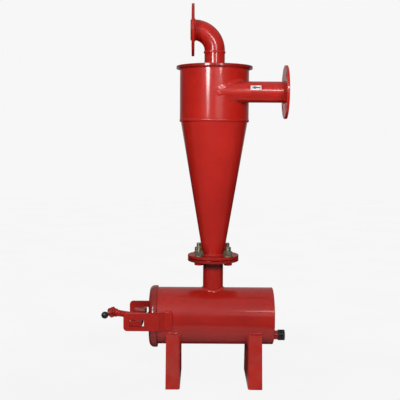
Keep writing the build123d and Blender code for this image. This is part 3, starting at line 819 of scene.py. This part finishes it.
# spindle: plain nose, then a thread cut into the bar, run in from a chamfered shoulder and out before the
# hub; its radius is the bar's less the thread's depth where there is no crest
def makeSpindle():
    start, stop = spindleStations.min(), spindleStations.max()
    shoulder = start + spindleThread["noseLength"]
    turn = np.linspace(0, 2 * pi, spindleThread["columns"], endpoint=False)
    rows = int((stop - shoulder) / spindleThread["pitch"] * spindleThread["steps"])
    cut = np.linspace(shoulder, stop, rows)
    runIn = np.clip((cut - shoulder) / spindleThread["runIn"], spindleThread["runInLeast"], 1)
    runOut = np.clip((stop - spindleThread["plainEnd"] - cut) / spindleThread["runOut"], 0, 1)
    depth = spindleThread["depth"] * (1 - threadCrest(cut[:, None], turn[None], spindleThread["pitch"]))
    chamfer = spindleThread["shoulder"] * np.clip(1 - (cut - shoulder) / spindleThread["shoulder"], 0, 1)
    threadRadii = spindleRadius - depth * (runOut * runIn)[:, None] - chamfer[:, None]

    nose, edge = spindleThread["nose"], spindleThread["noseEdge"]
    noseStations = np.array([start, start, start + edge, shoulder])
    noseRadii = np.array([spindleThread["noseEnd"], nose - edge, nose, nose])
    stations = np.concatenate([noseStations, cut])
    radii = np.vstack([np.repeat(noseRadii[:, None], len(turn), 1), threadRadii])
    ring = np.cos(turn)[:, None] * clampSide + np.sin(turn)[:, None] * screwUp
    skin = screwOrigin + stations[:, None, None] * screwAxis + radii[..., None] * ring[None]
    return surfacePiece("threaded_spindle", skin, paint, "clamp_screw", "red_paint", capEnds=True, sharp=50.0)


makeLeverWelds()
threaded = makeSpindle()
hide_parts("clamp_spindle")
print("clamp screw")

neckBolt = {
    "circle": 0.06035,
    "count": 4,
    "columns": 48,
    "radius": 0.008,
    "root": 0.0069,
    "pitch": 0.002,
    "steps": 8,
    "tail": 0.013,
    "endCut": 0.0008,
    "flats": 0.024,
    "head": 0.0078,
    "headMiddle": 0.004,
    "nut": 0.013,
    "nutPlain": 0.004,
    "boreGap": 0.0002,
    "lip": 0.0008,
    "lipGap": 0.0010,
    "chamfer": 0.0022,
    "chamferRows": 7,
    "chamferStart": 0.95,
    "chamferSlope": 1.75,
    "washer": 0.003,
    "washerRadius": 0.015,
    "washerGap": 0.0006,
    "washerEdge": 0.0006,
}
boltTurn = np.linspace(0, 2 * pi, neckBolt["columns"], endpoint=False)
chamferRise = np.linspace(0, neckBolt["chamfer"], neckBolt["chamferRows"])
nutFoot = flangeTop + neckBolt["washer"]
nutTop = nutFoot + neckBolt["nut"]


# a hexagon's radius at each turn, half the flats over the cosine from the nearest flat, cut by a chamfer cone
# that starts inside the flats and widens with the distance from the end
def hexRadius(fromEnd):
    half = neckBolt["flats"] / 2
    hexagon = half / np.cos(np.mod(boltTurn + pi / 6, pi / 3) - pi / 6)
    cone = neckBolt["chamferStart"] * half + fromEnd * neckBolt["chamferSlope"]
    return np.minimum(hexagon[None], cone[:, None])


# rows of a plain round, one radius each
def roundRows(*radii):
    return np.repeat(np.array(radii)[:, None], len(boltTurn), 1)


# turned or hexagonal piece on an upright axis: radius for each height and turn
def uprightPiece(name, spot, heights, radii, turn, finish, slot, **ends):
    ring = np.stack([np.cos(turn), np.sin(turn), np.zeros_like(turn)], -1)
    points = np.array([spot[0], spot[1], 0.0]) + radii[..., None] * ring[None]
    points[..., 2] += heights[:, None]
    surfacePiece(name, points, finish, "root", slot, sharp=40.0, **ends)


# head: a hexagon chamfered below, painted over with the lower flange, in the darkest copy of the red, a
# painted shade under the flange
def makeHead(name, spot, turned):
    rise = np.append(chamferRise, neckBolt["head"])
    heights = np.append(0.0, rise) + flangeFoot - neckBolt["head"]
    radii = np.vstack([roundRows(neckBolt["headMiddle"]), hexRadius(rise)])
    uprightPiece(name, spot, heights, radii, boltTurn + turned, lidAndShadePaint, "red_paint", capEnds=True)


# stud: plain shank through both flanges, then the thread to a chamfered end
def makeStud(name, spot):
    shank = np.array([flangeFoot, nutTop - neckBolt["nutPlain"]])
    cut = np.arange(shank[1], nutTop + neckBolt["tail"], neckBolt["pitch"] / neckBolt["steps"])
    crest = threadCrest(cut[:, None], boltTurn[None], neckBolt["pitch"])
    threadRadii = neckBolt["root"] + (neckBolt["radius"] - neckBolt["root"]) * crest
    endCone = neckBolt["root"] - neckBolt["endCut"] + (cut[-1] - cut)
    threadRadii = np.minimum(threadRadii, endCone[:, None])
    heights = np.concatenate([shank, cut])
    radii = np.vstack([roundRows(neckBolt["radius"], neckBolt["radius"]), threadRadii])
    uprightPiece(name, spot, heights, radii, boltTurn, zinc, "zinc_hardware", capEnds=True)


# nut: hexagon with both ends chamfered, closed through its hole
def makeNut(name, spot, turned):
    tall, lip = neckBolt["nut"], neckBolt["lip"]
    outside = np.concatenate([chamferRise, tall - chamferRise[::-1]])
    bore, mouth = neckBolt["radius"] + neckBolt["boreGap"], neckBolt["radius"] + neckBolt["lipGap"]
    heights = np.concatenate([outside, [tall, tall - lip, lip, 0.0]]) + nutFoot
    radii = np.vstack([hexRadius(np.minimum(outside, tall - outside)), roundRows(mouth, bore, bore, mouth)])
    uprightPiece(name, spot, heights, radii, boltTurn + turned, zinc, "zinc_hardware", wrapRows=True)


# washer under the nut: a flat ring with a bevelled rim
def makeWasher(name, spot):
    thick, rim, edge = neckBolt["washer"], neckBolt["washerRadius"], neckBolt["washerEdge"]
    hole = neckBolt["radius"] + neckBolt["washerGap"]
    heights = np.array([0, 0, edge, thick - edge, thick, thick]) + flangeTop
    radii = roundRows(hole, rim - edge, rim, rim, rim - edge, hole)
    uprightPiece(name, spot, heights, radii, boltTurn, zinc, "zinc_hardware", wrapRows=True)


draws = np.random.default_rng(7)
for k in range(neckBolt["count"]):
    bearing = 2 * pi * (k + 0.5) / neckBolt["count"]
    spot = np.array([axisX, axisY]) + neckBolt["circle"] * np.array([np.cos(bearing), np.sin(bearing)])
    headTurn, nutTurn = draws.uniform(0, pi / 3, 2)
    tag = "_%d" % (k + 1)
    makeHead("neck_bolt_head" + tag, spot, headTurn)
    makeStud("neck_stud" + tag, spot)
    makeNut("neck_nut" + tag, spot, nutTurn)
    makeWasher("neck_washer" + tag, spot)
print("neck bolts, nuts and washers")

# the label's ends are distances from the cyclone's axis, its edges degrees above the pipe's front line
flowLabel = {
    "from": 0.1005,
    "to": 0.1312,
    "low": 8.0,
    "high": 34.5,
    "lift": 0.00012,
    "thick": 0.00025,
    "columns": 41,
    "rows": 25,
}


# label: a strip of the pipe's own surface, lifted by its thickness; u runs along the pipe and v round it
def makeLabel():
    alongShare, upShare = np.linspace(0, 1, flowLabel["columns"]), np.linspace(0, 1, flowLabel["rows"])
    u, v = np.meshgrid(alongShare, upShare, indexing="ij")
    tilt = np.radians(flowLabel["low"] + (flowLabel["high"] - flowLabel["low"]) * v)
    reach = pipeRadius + flowLabel["lift"] + flowLabel["thick"]
    along = axisX + flowLabel["from"] + (flowLabel["to"] - flowLabel["from"]) * u
    strip = np.stack([along, inletY - reach * np.cos(tilt), inletZ + reach * np.sin(tilt)], -1)
    label = surfacePiece("flow_label", strip, vinyl, "root", "white_label", wrapColumns=False)
    chart = label.data.uv_layers.new(name="label")
    corner = np.empty(len(label.data.loops), np.int32)
    label.data.loops.foreach_get("vertex_index", corner)
    spots = np.stack([u.ravel()[corner], v.ravel()[corner]], -1)
    chart.data.foreach_set("uv", spots.ravel().astype(np.float32))
    solidify = label.modifiers.new("thickness", "SOLIDIFY")
    solidify.thickness = flowLabel["thick"]
    solidify.offset = -1.0


makeLabel()
print("label")

studio = {
    "backdrop": 0.93,
    "ambient": (0.19, 0.30),
    "mirrored": (0.05, 0.45),
    "mirroredBehind": 0.35,
    "rearSpan": (0.55, 0.95),
}
studioFloor = {
    "albedo": 0.52,
    "half": 7.0,
    "lines": 9,
    "drop": 0.0004,
    "glow": (0.975, 1.0),
    "glowSpan": (0.30, 1.1),
    "mirrored": (0.58, 0.16),
    "mirroredSpan": (0.32, 0.43),
    "mirroredBehind": 0.02,
    "behindSpan": (-0.16, 0.10),
}


# camera rays, and rays that mirror or pass through
def raysOf(tree):
    rays = addNode(tree, "ShaderNodeLightPath").outputs
    shiny = calc(tree, "MAXIMUM", rays["Is Glossy Ray"], rays["Is Transmission Ray"])
    return rays["Is Camera Ray"], shiny


# floor finish: a pale glow to the eye that lets a soft shadow through near the object; reflections see it
# brighter below the object, dimmer further out and dark behind
def makeFloorFinish():
    finish = bpy.data.materials.new("studio_floor")
    finish.use_nodes = True
    tree = finish.node_tree
    tree.nodes.clear()
    camera, shiny = raysOf(tree)
    ground = addNode(tree, "ShaderNodeTexCoord").outputs["Object"]
    away = addNode(tree, "ShaderNodeVectorMath", {0: ground}, operation="LENGTH").outputs["Value"]
    fade = remap(tree, away, *studioFloor["glowSpan"], *studioFloor["glow"], True)
    pale = greyOf(tree, remap(tree, noiseFac(tree, ground, 3.0), *noiseSpan, 0.985, 1.005))
    behind = partsOf(tree, ground)["Y"]
    mirrored = remap(tree, away, *studioFloor["mirroredSpan"], *studioFloor["mirrored"], True)
    front = remap(tree, behind, *studioFloor["behindSpan"], 1.0, studioFloor["mirroredBehind"], True)
    strength = blendValue(tree, shiny, studio["backdrop"], calc(tree, "MULTIPLY", mirrored, front))
    seen = calc(tree, "MAXIMUM", shiny, calc(tree, "MULTIPLY", camera, fade))
    matt = addNode(tree, "ShaderNodeBsdfDiffuse", {"Color": (studioFloor["albedo"],) * 3 + (1.0,)}).outputs[0]
    glow = addNode(tree, "ShaderNodeEmission", {"Color": pale, "Strength": strength}).outputs[0]
    mixed = addNode(tree, "ShaderNodeMixShader", {0: seen, 1: matt, 2: glow}).outputs[0]
    addNode(tree, "ShaderNodeOutputMaterial", {"Surface": mixed})
    return finish


# floor: a flat grid just below the feet that runs out to the backdrop
floorCount = studioFloor["lines"]
floorLine = np.linspace(-studioFloor["half"], studioFloor["half"], floorCount)
floorX, floorY = np.meshgrid(floorLine, floorLine, indexing="xy")
floorPoints = np.stack([floorX, floorY, np.full_like(floorX, -studioFloor["drop"])], -1).reshape(-1, 3)
floorMesh = bpy.data.meshes.new("studio_floor")
floorMesh.from_pydata(floorPoints.tolist(), [], gridQuads(floorCount, floorCount, False, False).tolist())
floorMesh.update()
floorMesh.materials.append(makeFloorFinish())
floor = bpy.data.objects.new("studio_floor", floorMesh)
scene.collection.objects.link(floor)


# world: white backdrop to the eye; light and reflections grow from a dim room at eye level to a pale ceiling
def makeWorld():
    world = bpy.data.worlds.new("studio")
    world.use_nodes = True
    tree = world.node_tree
    tree.nodes.clear()
    camera, shiny = raysOf(tree)
    outlook = partsOf(tree, addNode(tree, "ShaderNodeTexCoord").outputs["Generated"])
    mirrored = remap(tree, outlook["Z"], 0.1, 0.9, *studio["mirrored"], True)
    rear = remap(tree, outlook["Y"], *studio["rearSpan"], 0.0, studio["mirroredBehind"], True)
    mirrored = calc(tree, "MAXIMUM", mirrored, rear)
    ambient = remap(tree, outlook["Z"], 0.0, 0.9, *studio["ambient"], True)
    level = blendValue(tree, camera, blendValue(tree, shiny, ambient, mirrored), studio["backdrop"])
    white = {"Color": (1.0, 1.0, 1.0, 1.0), "Strength": level}
    sky = addNode(tree, "ShaderNodeBackground", white).outputs[0]
    addNode(tree, "ShaderNodeOutputWorld", {"Surface": sky})
    return world


scene.world = makeWorld()

# lamps: place, width and height, watts, height aimed at, beam in degrees, whether it lights what is matt
# and whether it shows in reflections
lamps = {
    "left_softbox": ((-0.84, -2.21, 1.33), 0.60, 0.64, 6.7, 0.88, 106, True, True),
    "left_softbox_foot": ((-0.84, -2.21, 1.14), 0.56, 0.56, 1.4, 0.88, 100, True, True),
    "left_window": ((-0.90, -1.90, 1.84), 0.64, 0.84, 17.0, 0.25, 180, False, True),
    "right_softbox": ((0.82, -2.25, 1.44), 0.44, 0.66, 3.0, 0.88, 100, True, True),
    "right_window": ((0.60, -2.30, 1.02), 1.10, 0.70, 0.22, 0.95, 60, True, True),
    "right_strip": ((0.47, -2.25, 1.58), 0.40, 0.36, 0.42, 1.04, 42, True, True),
    "right_fill": ((1.00, -2.30, 1.25), 1.20, 1.20, 3.2, 0.80, 106, True, False),
    "back_left": ((-0.60, 2.40, 1.20), 1.00, 1.20, 5.0, 0.70, 110, True, False),
    "back_right": ((0.60, 2.40, 1.40), 1.00, 1.20, 4.0, 0.70, 110, True, False),
}
for name, (place, width, tall, power, aimedAt, beam, lights, shows) in lamps.items():
    lamp = bpy.data.lights.new(name, "AREA")
    lamp.shape = "ELLIPSE"
    lamp.size, lamp.size_y = width, tall
    lamp.energy = power
    lamp.spread = radians(beam)
    holder = bpy.data.objects.new(name, lamp)
    scene.collection.objects.link(holder)
    holder.visible_diffuse, holder.visible_glossy = lights, shows
    zAxis = unit(np.array(place) - np.array(onAxis(aimedAt)))
    xAxis = unit(np.cross(zWay, zAxis))
    turned = np.stack([xAxis, np.cross(zAxis, xAxis), zAxis], -1)
    holder.matrix_world = Matrix.Translation(place) @ Matrix(turned.tolist()).to_4x4()
print("floor, world and lamps")

# camera: place from the cyclone's axis, degrees it looks down and rolls, lens and sensor in mm
view = {
    "left": 0.0407,
    "back": 2.233,
    "height": 0.725,
    "down": 4.59,
    "roll": 0.35,
    "lens": 67.3,
    "sensor": 36.0,
    "clip": (0.05, 60.0),
}
eye = bpy.data.cameras.new("photo_view")
eye.sensor_width = view["sensor"]
eye.lens = view["lens"]
eye.clip_start, eye.clip_end = view["clip"]
viewer = bpy.data.objects.new("photo_view", eye)
scene.collection.objects.link(viewer)
tipped = Matrix.Rotation(radians(90 - view["down"]), 4, "X")
rolled = Matrix.Rotation(radians(view["roll"]), 4, "Z")
standing = (axisX - view["left"], axisY - view["back"], view["height"])
viewer.matrix_world = Matrix.Translation(standing) @ tipped @ rolled
scene.camera = viewer

bpy.context.view_layer.update()
